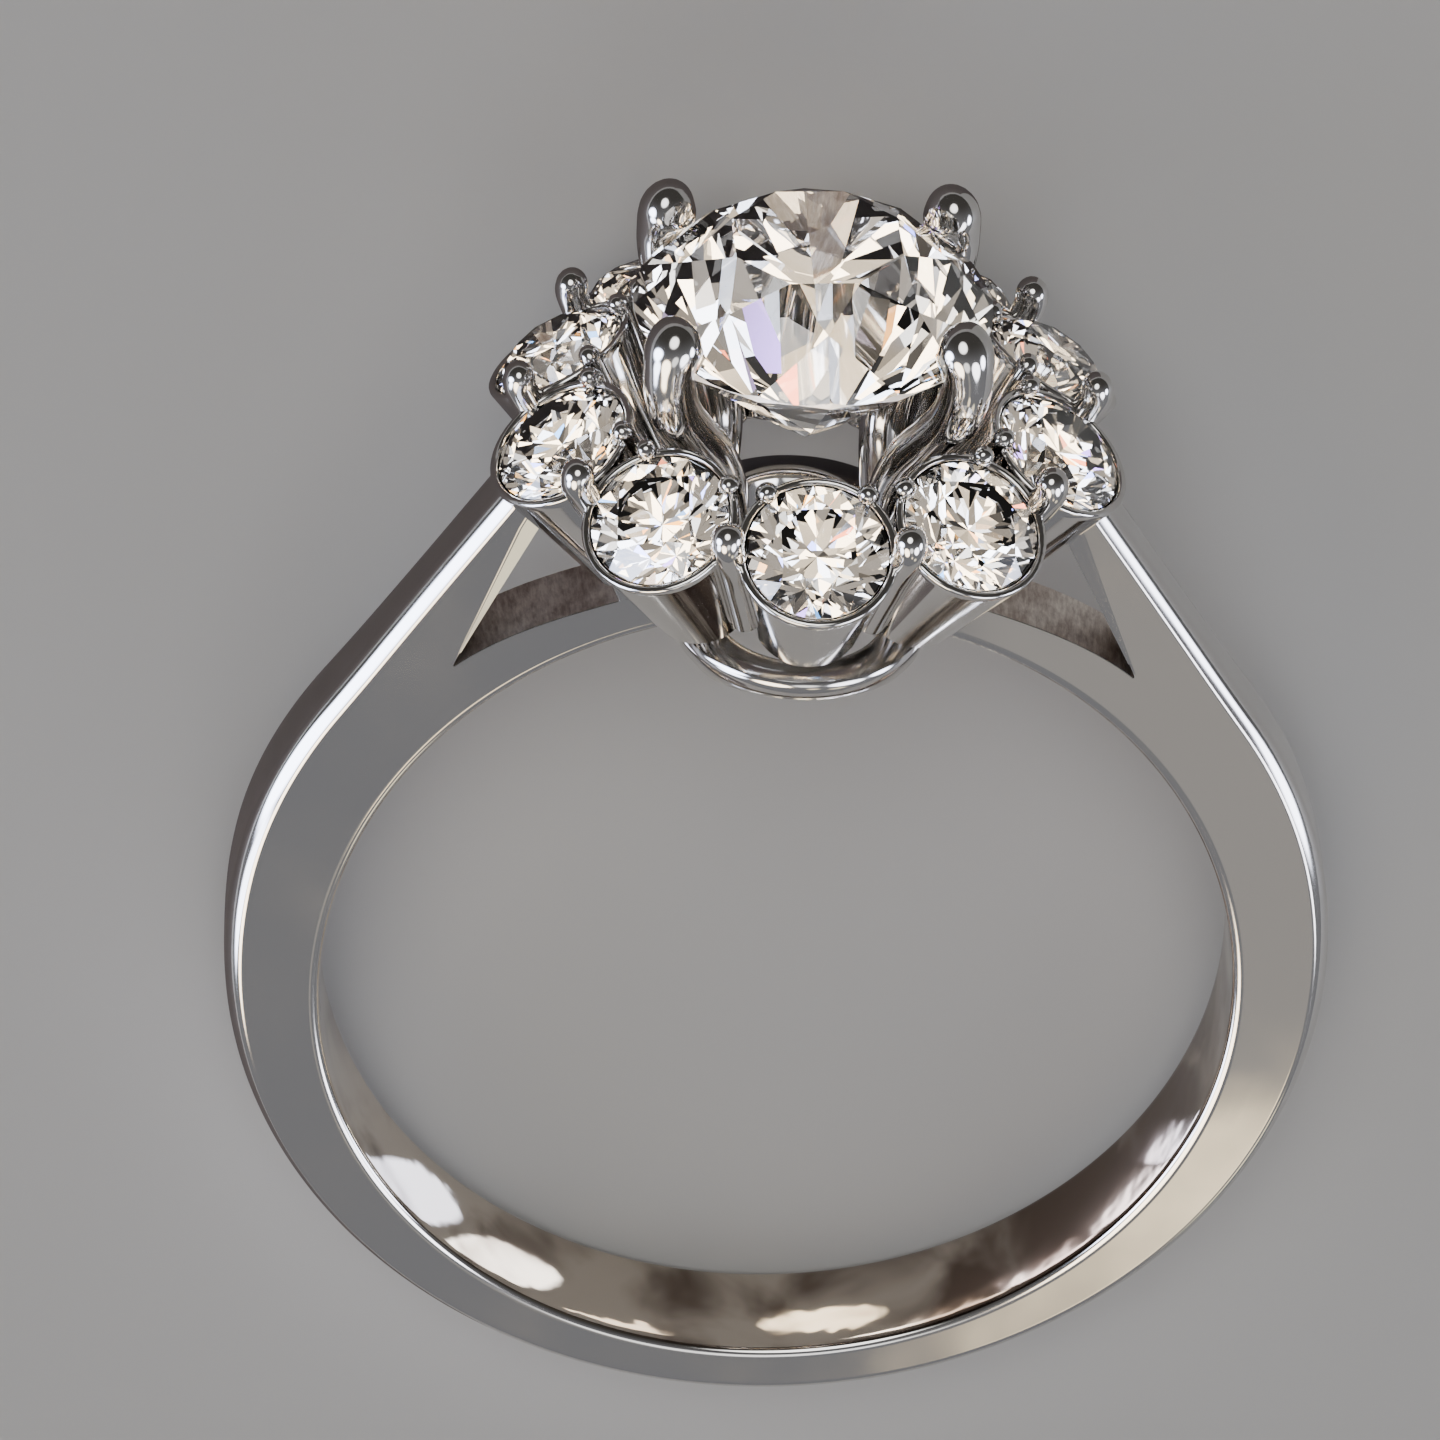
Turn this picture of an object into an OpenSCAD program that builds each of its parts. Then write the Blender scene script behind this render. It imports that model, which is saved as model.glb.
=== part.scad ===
// Cluster ring with a raised round centre stone, a ring of smaller stones and cathedral shoulders.
// Every part is drawn with the finger along Y and the head toward +Z, then laid on its side.
// Sizes are in millimetres.

/* [Band] */
// Bore of the finger hole
finger_d = 17; // [16.8:0.1:17.2]
// Width of the band along the finger
band_w = 2.4; // [2.3:0.05:2.6]
// Thickness of the band at the back
band_t = 1.2; // [1.15:0.05:1.3]
// How far the outer circle is set toward the head
band_shift = 0.65; // [0.6:0.05:0.7]
// Width left at the shoulders, where the band is narrowest
shoulder_w = 1.5; // [1.4:0.05:1.6]
// Thickness of the bridge between the finger and the windows
bridge_t = 0.8; // [0.75:0.05:0.9]

/* [Centre] */
// Width of the centre stone across its girdle
centre_d = 6.4; // [6.3:0.05:6.5]
// Height of the centre stone's girdle above the middle of the bore
centre_z = 14.66; // [14.6:0.02:14.8]
// Height of the centre stone's crown as a share of its width
centre_crown = 0.215; // [0.2:0.005:0.22]
// Width of the centre stone's table as a share of its width
centre_table = 0.5; // [0.48:0.01:0.54]
// Thickness of the four claws that hold the centre stone
claw_d = 0.95; // [0.85:0.05:1]
// Turn of those claws from the finger's direction, in degrees
claw_turn = 49; // [45:1:54]

/* [Halo] */
// Width of one halo stone across its girdle
halo_d = 2.5; // [2.46:0.01:2.54]
// Radius of the circle through the middles of the halo stones
halo_r = 4.63; // [4.6:0.01:4.7]
// Height of the halo stones above the middle of the bore
halo_z = 12.6; // [12.55:0.05:12.7]
// How far each halo stone leans outward, in degrees
halo_lean = 32; // [30:1:34]
// Wall of the cup round each halo stone, at its rim
cup_wall = 0.16; // [0.14:0.01:0.2]

/* [Hidden] */
$fn = 64;
// number of halo stones and the angle from one to the next
halo_n = 10;
halo_step = 360 / halo_n;
// gap left between a stone and the metal
stone_gap = 0.04;
bore_r = finger_d / 2;
half_w = band_w / 2;
half_s = shoulder_w / 2;
outer_r = bore_r + band_t + band_shift;
bridge_r = bore_r + bridge_t;
// the crown of the upper half follows a circle set lower, so it flattens toward the head
crown_shift = band_shift - 0.34;
// the band keeps its full width up to here, then its sides close in toward the head
taper_z = 0;
taper_lean = atan((half_w - half_s) / (bridge_r - taper_z));
// direction of the straight shoulders, from the head's axis
arm_lean = 33.3;
arm_x = outer_r * cos(arm_lean);
arm_z = crown_shift + outer_r * sin(arm_lean);
arm_end = 6.6;
// half of the width where the shoulders start
arm_half = half_w - (arm_z - taper_z) * tan(taper_lean);
// crown and table of a halo stone as shares of its width
crown = 0.165;
table = 0.56;
// girdle and pavilion of every cut stone as shares of its width
girdle = 0.02;
pavilion = 0.435;
// cup round a halo stone
cup_r = halo_d / 2 + stone_gap + cup_wall;
cup_depth = 2.9;
cup_foot = 1.0;
// the ring rests on the cup at the back of the halo and on the back of the band
rest_head_y = halo_r + cup_r * cos(halo_lean) + 0.05 * sin(halo_lean);
rest_head_z = halo_z - cup_r * sin(halo_lean) + 0.05 * cos(halo_lean);
rest_band_y = half_w;
rest_band_z = band_shift - outer_r + 0.38;
// depth of the small worn flat at each of those two places
rest_flat = 0.02;
rest_tilt = atan((rest_head_y - rest_band_y) / (rest_head_z - rest_band_z));
rest_drop = rest_band_y * cos(rest_tilt) - rest_band_z * sin(rest_tilt) - rest_flat;
// and its length is centred over the frame's origin, from the table to the back of the band
rest_front = (centre_z + centre_d * (girdle + centre_crown)) * cos(rest_tilt)
  + centre_d * centre_table / 2 * cos(22.5) * sin(rest_tilt);
rest_back = (outer_r - 0.015 - band_shift) * cos(rest_tilt) + half_w * 0.2 * sin(rest_tilt);
rest_slide = (rest_front - rest_back) / 2;

// turns the upright ring onto its side, head toward -Y, and sets it on the floor
module lay_down() {
  translate([0, rest_slide, rest_drop])
    rotate([-rest_tilt, 0, 0])
      rotate([0, 180, 0])
        rotate([90, 0, 0])
          children();
}

// round bar from one point to another in the plane at one angle round the head
module bar(angle, r1, z1, r2, z2, thick) {
  run = sqrt((r2 - r1) * (r2 - r1) + (z2 - z1) * (z2 - z1));
  rotate([0, 0, angle])
    translate([0, -r1, z1])
      rotate([atan2(r2 - r1, z2 - z1), 0, 0])
        cylinder(h = run, r = thick / 2, $fn = 32);
}

// ball at one angle round the head
module ball(angle, r, z, size) {
  rotate([0, 0, angle])
    translate([0, -r, z])
      sphere(r = size / 2, $fn = 32);
}

// space that the centre stone needs, used to keep the metal clear of it
module centre_space(size, gap) {
  rotate_extrude()
    polygon([
      [0, -size * pavilion - gap * 1.5],
      [size / 2 + gap, -gap * 0.4],
      [size / 2 + gap, size * girdle + gap * 0.4],
      [size * centre_table / 2 + gap, size * (girdle + centre_crown) + gap],
      [0, size * (girdle + centre_crown) + gap]
    ]);
}

// cut stone with an eight-sided table, a faceted crown and pavilion and a girdle in 32 flats
module cut_stone(size, crown_share, table_share) {
  hull() {
    translate([0, 0, size * (girdle + crown_share) - 0.01])
      rotate([0, 0, 22.5])
        cylinder(h = 0.01, r = size * table_share / 2, $fn = 8);
    translate([0, 0, size * (girdle + crown_share * 0.5)])
      cylinder(h = 0.01, r = size * (0.27 + table_share * 0.25), $fn = 8);
    cylinder(h = size * girdle, r = size / 2, $fn = 32);
    translate([0, 0, -size * pavilion])
      cylinder(h = 0.01, r = 0.02, $fn = 8);
  }
}

// puts its children at the place of one halo stone
module at_halo(index) {
  rotate([0, 0, halo_step * index])
    translate([0, -halo_r, halo_z])
      rotate([halo_lean, 0, 0])
        children();
}

// domed section of the band, x across the thickness and y across the width
module band_section(inside, outside) {
  polygon([
    [inside, -half_w],
    [outside - 0.38, -half_w],
    [outside - 0.3, -half_w + 0.03],
    [outside - 0.22, -half_w + 0.09],
    [outside - 0.15, -half_w + 0.2],
    [outside - 0.07, -half_w * 0.55],
    [outside - 0.015, -half_w * 0.2],
    [outside - 0.015, half_w * 0.2],
    [outside - 0.07, half_w * 0.55],
    [outside - 0.15, half_w - 0.2],
    [outside - 0.22, half_w - 0.09],
    [outside - 0.3, half_w - 0.03],
    [outside - 0.38, half_w],
    [inside, half_w]
  ]);
}

// full circle of the band, thicker toward the head
module band_circle() {
  intersection() {
    translate([0, 0, band_shift])
      rotate([90, 0, 0])
        rotate_extrude($fn = 180)
          band_section(bore_r - band_shift - 0.5, outer_r);
    union() {
      translate([0, 0, crown_shift])
        rotate([90, 0, 0])
          cylinder(h = 4, r = outer_r, center = true, $fn = 180);
      translate([-15, -2, -12])
        cube([30, 4, 12.2]);
    }
  }
}

// straight shoulder rising from the band to the underside of the halo
module shoulder() {
  translate([arm_x, 0, arm_z])
    rotate([0, -arm_lean, 0])
      translate([0, 0, -0.6])
        linear_extrude(height = arm_end)
          polygon([[-3, -half_w], [0.01, -half_w], [0.01, half_w], [-3, half_w]]);
}

// rounds the front and back edges of the band where its sides close in, up to the shoulders
module edge_cut() {
  difference() {
    for (side = [0, 1])
      mirror([0, side, 0])
        translate([0, -half_w, taper_z])
          rotate([-taper_lean, 0, 0])
            translate([0, 0, band_shift - taper_z])
              rotate([90, 0, 0])
                rotate_extrude($fn = 180)
                  polygon([[outer_r - 0.38, 0.3], [outer_r - 0.38, 0.02], [outer_r - 0.26, -0.07],
                    [outer_r - 0.17, -0.22], [outer_r - 0.1, -0.45],
                    [outer_r + 1, -0.45], [outer_r + 1, 0.3]]);
    rotate([90, 0, 0])
      linear_extrude(height = 6, center = true)
        polygon([[0, crown_shift], [arm_x * 1.5, crown_shift + (arm_z - crown_shift) * 1.5], [0, 30],
          [-arm_x * 1.5, crown_shift + (arm_z - crown_shift) * 1.5]]);
  }
}

// the same rounding along the straight shoulders
module arm_cut() {
  for (side = [0, 1])
    mirror([0, side, 0])
      translate([arm_x, 0, arm_z])
        rotate([0, -arm_lean, 0])
          translate([0, -arm_half, 0])
            rotate([-atan(tan(taper_lean) * cos(arm_lean)), 0, 0])
              linear_extrude(height = arm_end)
                polygon([[-0.2, -1], [-0.2, -0.02], [-0.08, 0.07], [0, 0.22],
                  [0.04, 0.5], [1, 0.5], [1, -1]]);
}

// opening on both sides between the shoulders and the bridge, which thickens toward their corners
module windows() {
  difference() {
    rotate([90, 0, 0])
      linear_extrude(height = band_w + 2, center = true)
        polygon([[-6.16, 7.24], [-5.45, 8.58], [-4.68, 10.25], [-3.95, 12.9],
          [3.95, 12.9], [4.68, 10.25], [5.45, 8.58], [6.16, 7.24], [5.36, 7.84], [4.29, 8.36],
          [3.2, 8.73], [0, 3], [-3.2, 8.73], [-4.29, 8.36], [-5.36, 7.84]]);
    rotate([90, 0, 0])
      cylinder(h = band_w + 3, r = bridge_r, center = true, $fn = 180);
  }
}

// keeps the band full width at the back and narrows it toward the head
module taper() {
  rotate([90, 0, 90])
    linear_extrude(height = 30, center = true)
      polygon([[-half_w, -12], [half_w, -12], [half_w, taper_z], [half_s, bridge_r], [half_s * 0.9, 12.6],
        [-half_s * 0.9, 12.6], [-half_s, bridge_r], [-half_w, taper_z]]);
}

// bore with a small bevel at each edge
module bore() {
  rotate([90, 0, 0])
    cylinder(h = 20, r = bore_r, center = true, $fn = 180);
  for (side = [0, 1])
    mirror([0, side, 0])
      translate([0, -half_w - 0.01, 0])
        rotate([-90, 0, 0])
          cylinder(h = 0.16, r1 = bore_r + 0.16, r2 = bore_r, $fn = 180);
}

// band, both shoulders and the bridge under the head
module shank() {
  intersection() {
    difference() {
      union() {
        band_circle();
        shoulder();
        mirror([1, 0, 0])
          shoulder();
      }
      windows();
      edge_cut();
      arm_cut();
      mirror([1, 0, 0])
        arm_cut();
      translate([-15, -5, 11.9])
        cube([30, 10, 5]);
      bore();
    }
    taper();
  }
}

// long rounded foot under the head, open in the middle, hollowed to the finger's curve
module foot() {
  difference() {
    union() {
      for (side = [-1, 1]) {
        translate([0, side * 1.25, 8.0])
          cylinder(h = 0.6, r1 = 1.75, r2 = 2.3);
        translate([0, side * 1.25, 8.6])
          cylinder(h = 0.45, r1 = 2.3, r2 = 2.4);
      }
      rotate([90, 0, 0])
        linear_extrude(height = 2.5, center = true)
          polygon([[-1.75, 8], [1.75, 8], [2.3, 8.6], [2.4, 9.05], [-2.4, 9.05], [-2.3, 8.6]]);
    }
    for (side = [-1, 1])
      translate([0, side * 1.4, 7.9])
        cylinder(h = 1.3, r = 1.5);
    rotate([90, 0, 0])
      cylinder(h = 20, r = bore_r, center = true, $fn = 180);
  }
}

// walls that carry the side cups down to the bridge
module side_walls() {
  intersection() {
    difference() {
      translate([0, 0, 8.4])
        cylinder(h = 2.6, r1 = 3.3, r2 = 4.4);
      translate([0, 0, 8.39])
        cylinder(h = 2.62, r1 = 2.6, r2 = 3.5);
      rotate([90, 0, 0])
        cylinder(h = 20, r = bore_r + 0.1, center = true, $fn = 180);
    }
    cube([12, 1.5, 30], center = true);
  }
}

// solid outside of one cup
module cup_outside() {
  translate([0, 0, -cup_depth])
    cylinder(h = cup_depth + 0.05, r1 = cup_foot, r2 = cup_r);
}

// seat and light hole inside one cup, with the room for its stone above
module cup_inside() {
  rotate_extrude()
    polygon([
      [0, -cup_depth - 0.2],
      [0.5, -cup_depth - 0.2],
      [halo_d / 2 - 0.42, -0.46],
      [halo_d / 2 + stone_gap, -0.06],
      [halo_d / 2 + stone_gap, halo_d * girdle + 0.03],
      [halo_d * table / 2 + stone_gap, halo_d * (girdle + crown) + stone_gap],
      [0, halo_d * (girdle + crown) + stone_gap]
    ]);
}

// two beads on the inner rim of one cup, which hold the stone there
module inner_beads() {
  for (side = [-1, 1])
    rotate([0, 0, side * 40])
      translate([0, halo_d / 2 + 0.08, 0.12])
        sphere(r = 0.26, $fn = 24);
}

// shared claw between two halo stones, on the outer side
module outer_claw(angle) {
  bar(angle, 3.6, 10.5, halo_r + 0.37, halo_z + 0.4, 0.48);
  ball(angle, halo_r + 0.39, halo_z + 0.42, 0.56);
}

// one of the four claws that hold the centre stone, bent outward below it and upright beside it
module centre_claw(angle) {
  bar(angle, 2.3, 8.7, 2.02, 11.7, claw_d);
  ball(angle, 2.02, 11.7, claw_d * 1.06);
  bar(angle, 2.02, 11.7, 3.42, 14.1, claw_d);
  ball(angle, 3.42, 14.1, claw_d * 1.06);
  bar(angle, 3.42, 14.1, 3.4, centre_z + 0.44, claw_d);
  ball(angle, 3.4, centre_z + 0.44, claw_d * 1.1);
}

// all the metal of the head
module head() {
  difference() {
    union() {
      foot();
      side_walls();
      for (i = [0 : halo_n - 1]) {
        at_halo(i)
          cup_outside();
        outer_claw(halo_step * (i + 0.5));
        at_halo(i)
          inner_beads();
      }
      for (i = [0, 180])
        for (side = [-1, 1])
          centre_claw(i + side * claw_turn);
    }
    for (i = [0 : halo_n - 1])
      at_halo(i)
        cup_inside();
    translate([0, 0, centre_z])
      centre_space(centre_d, stone_gap);
    rotate([90, 0, 0])
      cylinder(h = 20, r = bore_r, center = true, $fn = 180);
  }
}

// the whole soldered mount
module mount() {
  color("silver")
    difference() {
      lay_down()
        union() {
          shank();
          head();
        }
      translate([-20, -20, -2])
        cube([40, 40, 2]);
    }
}

// the raised stone in the middle
module centre_stone() {
  color("lightcyan")
    lay_down()
      translate([0, 0, centre_z])
        cut_stone(centre_d, centre_crown, centre_table);
}

// one stone of the halo, counted from the front
module halo_stone(index) {
  color("azure")
    lay_down()
      at_halo(index)
        cut_stone(halo_d, crown, table);
}

mount();
centre_stone();
halo_stone(0);  // halo_stone_01
halo_stone(1);  // halo_stone_02
halo_stone(2);  // halo_stone_03
halo_stone(3);  // halo_stone_04
halo_stone(4);  // halo_stone_05
halo_stone(5);  // halo_stone_06
halo_stone(6);  // halo_stone_07
halo_stone(7);  // halo_stone_08
halo_stone(8);  // halo_stone_09
halo_stone(9);  // halo_stone_10
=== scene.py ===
import math
import bmesh
import bpy
from mathutils import Matrix, Vector


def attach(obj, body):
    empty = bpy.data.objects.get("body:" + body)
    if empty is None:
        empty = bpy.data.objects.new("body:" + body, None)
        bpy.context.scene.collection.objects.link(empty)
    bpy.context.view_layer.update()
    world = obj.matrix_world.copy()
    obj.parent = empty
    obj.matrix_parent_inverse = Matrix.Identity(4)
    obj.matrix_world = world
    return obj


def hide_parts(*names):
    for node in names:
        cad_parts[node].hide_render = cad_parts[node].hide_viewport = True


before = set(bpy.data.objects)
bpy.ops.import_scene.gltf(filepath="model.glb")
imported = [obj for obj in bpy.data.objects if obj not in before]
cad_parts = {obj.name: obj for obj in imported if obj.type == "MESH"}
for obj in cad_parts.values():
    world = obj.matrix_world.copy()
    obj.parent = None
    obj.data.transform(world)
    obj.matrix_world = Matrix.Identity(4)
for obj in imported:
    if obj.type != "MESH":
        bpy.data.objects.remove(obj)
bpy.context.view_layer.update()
print("frame loaded")

# The ring is modelled standing, in millimetres, with the finger along Y and the head towards +Z.
# Then each piece is laid on its side where the CAD ring lies, and millimetres become metres.
mm = 0.001
lying = {"tilt": 12.4681, "slide": 3.2968, "drop": 3.1637}


def lyingPlace():
    tilt = math.radians(lying["tilt"])
    turn = Matrix((
        (-1, 0, 0),
        (0, -math.sin(tilt), -math.cos(tilt)),
        (0, -math.cos(tilt), math.sin(tilt)),
    ))
    move = Matrix.Translation((0, lying["slide"] * mm, lying["drop"] * mm))
    return move @ turn.to_4x4() @ Matrix.Scale(mm, 4)


def turnAbout(axis, degrees):
    return Matrix.Rotation(math.radians(degrees), 4, axis)


def deselectAll():
    if bpy.context.object and bpy.context.object.mode != "OBJECT":
        bpy.ops.object.mode_set(mode="OBJECT")
    bpy.ops.object.select_all(action="DESELECT")


def onlySelect(piece):
    deselectAll()
    piece.select_set(True)
    bpy.context.view_layer.objects.active = piece


def takeNew(name):
    # names the object that was just added, and applies its place and turn to its mesh
    piece = bpy.context.object
    piece.name = name
    bpy.ops.object.transform_apply(location=True, rotation=True, scale=True)
    return piece


def startEditing():
    # edit mode with every point of the new piece selected
    bpy.ops.object.mode_set(mode="EDIT")
    bpy.ops.mesh.select_mode(type="VERT")
    bpy.ops.mesh.select_all(action="SELECT")


def selectFaces(piece, test):
    # in edit mode, selects the faces whose middle passes the test
    mesh = bmesh.from_edit_mesh(piece.data)
    bpy.ops.mesh.select_mode(type="FACE")
    for face in mesh.faces:
        face.select_set(False)
    for face in mesh.faces:
        if test(face.calc_center_median()):
            face.select_set(True)
    bmesh.update_edit_mesh(piece.data)


def bridgeEnds(piece):
    # in edit mode, joins the first and the last loop of a piece by faces
    mesh = bmesh.from_edit_mesh(piece.data)
    bpy.ops.mesh.select_mode(type="EDGE")
    for edge in mesh.edges:
        edge.select_set(edge.is_boundary)
    bmesh.update_edit_mesh(piece.data)
    bpy.ops.mesh.bridge_edge_loops()
    bpy.ops.object.mode_set(mode="OBJECT")


def movePoints(piece, change):
    # in object mode, moves each point of the mesh to where the change puts it
    for point in piece.data.vertices:
        point.co = change(point.co.copy())


def closeMesh(piece, merge=0.0005):
    # merges points closer than this, in millimetres, and turns all faces outward
    onlySelect(piece)
    startEditing()
    bpy.ops.mesh.remove_doubles(threshold=merge)
    bpy.ops.mesh.normals_make_consistent(inside=False)
    bpy.ops.object.mode_set(mode="OBJECT")


def smoothBelow(degrees):
    # smooths the selected piece, but keeps the edges that are sharper than this
    bpy.ops.object.shade_smooth_by_angle(angle=math.radians(degrees))


def copyTo(piece, name, place):
    # a copy with its own mesh
    twin = piece.copy()
    twin.data = piece.data.copy()
    twin.name = name
    bpy.context.collection.objects.link(twin)
    twin.matrix_world = place @ piece.matrix_world
    return twin


def layDown(piece, slotName, *nodes):
    onlySelect(piece)
    piece.matrix_world = lyingPlace() @ piece.matrix_world
    bpy.ops.object.transform_apply(location=True, rotation=True, scale=True)
    # the metal is worn flat where the ring lies on the table
    movePoints(piece, lambda point: Vector((point.x, point.y, max(point.z, 0))))
    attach(piece, "root")
    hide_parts(*nodes)


# Materials


def linear(hexValue):
    # an sRGB colour as the linear one that the shaders take
    parts = [int(hexValue[i:i + 2], 16) / 255 for i in (1, 3, 5)]
    return tuple(c / 12.92 if c <= 0.04045 else ((c + 0.055) / 1.055) ** 2.4 for c in parts) + (1,)


def fillSockets(material, node, values=None, links=None):
    # sets the values of a node's sockets and makes the links that come into it
    for key, value in (values or {}).items():
        node.inputs[key].default_value = value
    for key, source in (links or {}).items():
        material.node_tree.links.new(source, node.inputs[key])


def addNode(material, kind, settings=None, values=None, links=None):
    node = material.node_tree.nodes.new(kind)
    for key, value in (settings or {}).items():
        setattr(node, key, value)
    fillSockets(material, node, values, links)
    return node


def addNoise(material, place, scale, detail, **more):
    # clouds, about this many to the metre
    node = addNode(material, "ShaderNodeTexNoise", values={"Scale": scale, "Detail": detail, **more},
                   links={"Vector": place})
    return node.outputs["Fac"]


def addRange(material, value, start, end, low=0, high=1, kind="LINEAR"):
    # a value between start and end is brought between low and high
    node = addNode(material, "ShaderNodeMapRange", settings={"interpolation_type": kind},
                   values={"From Min": start, "From Max": end, "To Min": low, "To Max": high},
                   links={"Value": value})
    return node.outputs["Result"]


def addSum(material, first, second):
    node = addNode(material, "ShaderNodeMath", settings={"operation": "ADD"}, links={0: first, 1: second})
    return node.outputs["Value"]


def addTones(material, share, first, second):
    # from the first colour to the second, as the share goes from 0 to 1
    node = addNode(material, "ShaderNodeMix", settings={"data_type": "RGBA"},
                   values={"A": linear(first), "B": linear(second)}, links={"Factor": share})
    return node.outputs["Result"]


def addBump(material, height, strength, depth, **under):
    # relief of this depth in metres; under takes the Normal of a coarser relief below it
    node = addNode(material, "ShaderNodeBump", values={"Strength": strength, "Distance": depth},
                   links={"Height": height, **under})
    return node.outputs["Normal"]


def startMaterial(name):
    # a new material, and the place on the object for its patterns, in metres
    material = bpy.data.materials.new(name)
    material.use_nodes = True
    return material, addNode(material, "ShaderNodeTexCoord").outputs["Object"]


def setShader(material, values, links=None):
    fillSockets(material, material.node_tree.nodes["Principled BSDF"], values, links)
    return material


def polishedWhiteGold():
    # White gold, rhodium plated and buffed: a bright neutral mirror with hairline wear from the buff
    material, place = startMaterial("whiteGoldPolished")
    # buffing hairlines 0.1 to 0.2 mm apart and nearly 1 mm long, with finer ones between
    stretch = addNode(material, "ShaderNodeMapping", values={"Scale": (5000, 1200, 9000)},
                      links={"Vector": place})
    hair = addNoise(material, stretch.outputs["Vector"], 1, 3, Roughness=0.6)
    # handling wear in patches about 4 mm across
    cloud = addNoise(material, place, 260, 4, Roughness=0.55)
    # the buff leaves soft waves about 2 mm long
    waves = addBump(material, addNoise(material, place, 420, 1), 0.25, 0.00004)
    return setShader(material, {"Metallic": 1}, {
        "Base Color": addTones(material, cloud, "#D8D6D3", "#CDCAC6"),
        "Roughness": addRange(material, cloud, 0.3, 0.7, 0.05, 0.13),
        "Normal": addBump(material, hair, 0.02, 0.000004, Normal=waves),
    })


def castWhiteGold():
    # White gold as it comes from the casting, only filed where a buff can't reach: dull, brown and scratched
    material, place = startMaterial("whiteGoldCast")
    # file marks about 0.1 mm apart, which run along the finger
    stretch = addNode(material, "ShaderNodeMapping", values={"Scale": (11000, 11000, 1600)},
                      links={"Vector": place})
    marks = addNoise(material, stretch.outputs["Vector"], 1, 4, Roughness=0.65)
    # casting skin with stains a little under 1 mm across
    stain = addNoise(material, place, 1400, 4, Roughness=0.7)
    share = addRange(material, addSum(material, marks, stain), 0.8, 1.25)
    return setShader(material, {"Metallic": 1}, {
        "Base Color": addTones(material, share, "#B3A399", "#F2EAE0"),
        "Roughness": addRange(material, stain, 0, 1, 0.22, 0.5),
        "Normal": addBump(material, marks, 0.7, 0.00004),
    })


def paintedReflectionGold():
    # White gold inside the band, with painted reflections: pale and dark brown patches side by side stand in for the
    # room that it mirrors, and the dark ones are a little less polished
    material, place = startMaterial("whiteGoldPaintedReflections")
    # the painted reflection patches are about 2 mm long, and the colour turns darker and browner towards one side of
    # the ring
    reflectionPatches = addNoise(material, place, 480, 3, Roughness=0.45, Distortion=0.5)
    parts = addNode(material, "ShaderNodeSeparateXYZ", links={"Vector": place})
    side = addRange(material, parts.outputs["X"], 0.006, -0.007, -0.14, 0.2)
    share = addRange(material, addSum(material, reflectionPatches, side), 0.36, 0.7, kind="SMOOTHSTEP")
    # the finger's polish leaves waves about 1 mm long
    waves = addNoise(material, place, 900, 2)
    return setShader(material, {"Metallic": 1}, {
        "Base Color": addTones(material, share, "#CFC4B7", "#6A5B51"),
        "Roughness": addRange(material, share, 0, 1, 0.04, 0.09),
        "Normal": addBump(material, waves, 0.5, 0.00003),
    })


diamondBend = 2.417


def cutDiamond():
    # Diamond, cut and polished: clear, with the high bend of light that makes it flash
    material, place = startMaterial("diamondCut")
    return setShader(material, {"Base Color": linear("#FFFFFF"), "Transmission Weight": 1, "Roughness": 0,
                                "IOR": diamondBend})


def frostedGirdle():
    # Bruted diamond: the ground edge of the stone, left matt, so it looks white and silky
    material, place = startMaterial("diamondGirdle")
    # grinding grain about 0.03 mm across
    grind = addNoise(material, place, 30000, 2)
    return setShader(material, {"Base Color": linear("#F4F5F6"), "Transmission Weight": 1, "Roughness": 0.35,
                                "IOR": diamondBend}, {"Normal": addBump(material, grind, 0.4, 0.00001)})


whiteGold = polishedWhiteGold()
roughGold = castWhiteGold()
reflectionGold = paintedReflectionGold()
diamond = cutDiamond()
frosted = frostedGirdle()
print("materials ready")

# Shank: rings of faces are drawn flat, pulled out along the finger, then shaped

shank = {
    "around": 320,           # points round the finger hole
    "boreRadius": 8.5,
    "boreEdge": 0.16,        # depth of the rounding of the bore's rims
    "boreFlat": 0.88,        # and the share of the half width where it starts
    "edgeRadius": 9.97,      # front edge of the outside
    "edgeShift": 0.65,       # its circle is set towards the head
    "shoulderTrim": 0.09,    # the straight shoulders lie this much inside it
    "trimAngles": (15, 45),  # which is reached between these angles
    "crown": 0.325,          # height of the dome above its edges, at the back
    "domeAngles": (-25, 25),  # the dome turns into the flat shoulders between these
    "halfWidth": 1.2,
    "halfTop": 0.72,         # half of the width at the top
    "narrowing": (-3, 9.5),  # the heights between which the band narrows
    "armLean": 33.3,
    "armAngle": 36.3,        # where the outside runs on as a straight shoulder
    "armTop": 11.95,
    "armSpan": 20.25,        # the part of the blank that becomes a shoulder beside the window
    "armSlope": 0.492,       # how fast the window sides close in
    "cornerAngle": 49.5,     # where the windows start
    "cornerRadius": 9.505,
    "cornerGap": 0.03,       # height of the slit in their corners
    "bridgeRadius": 9.3,     # top of the bridge, which thickens towards the corners
    "bridgeAngle": 70,       # and is thin from here on
    "bridgeEdge": 0.01,      # rounding of its edges
    "bridgeFlat": 0.985,
    "windowEdge": 0.33,      # bevel of the window sides at the top of the arms
    "windowFlat": 0.86,
    "windowRise": 2.9,       # the bevel has its full size this far above the corner
    "loopGap": 0.05,         # loops this far from the edges keep them crisp
}
# distance in from the edge of a shoulder, and height of the metal there
shoulderEdge = [(0, 0), (0.035, 0.06), (0.1, 0.15), (0.2, 0.24), (0.27, 0.272), (0.36, 0.287), (0.5, 0.29), (2, 0.29)]
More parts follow.
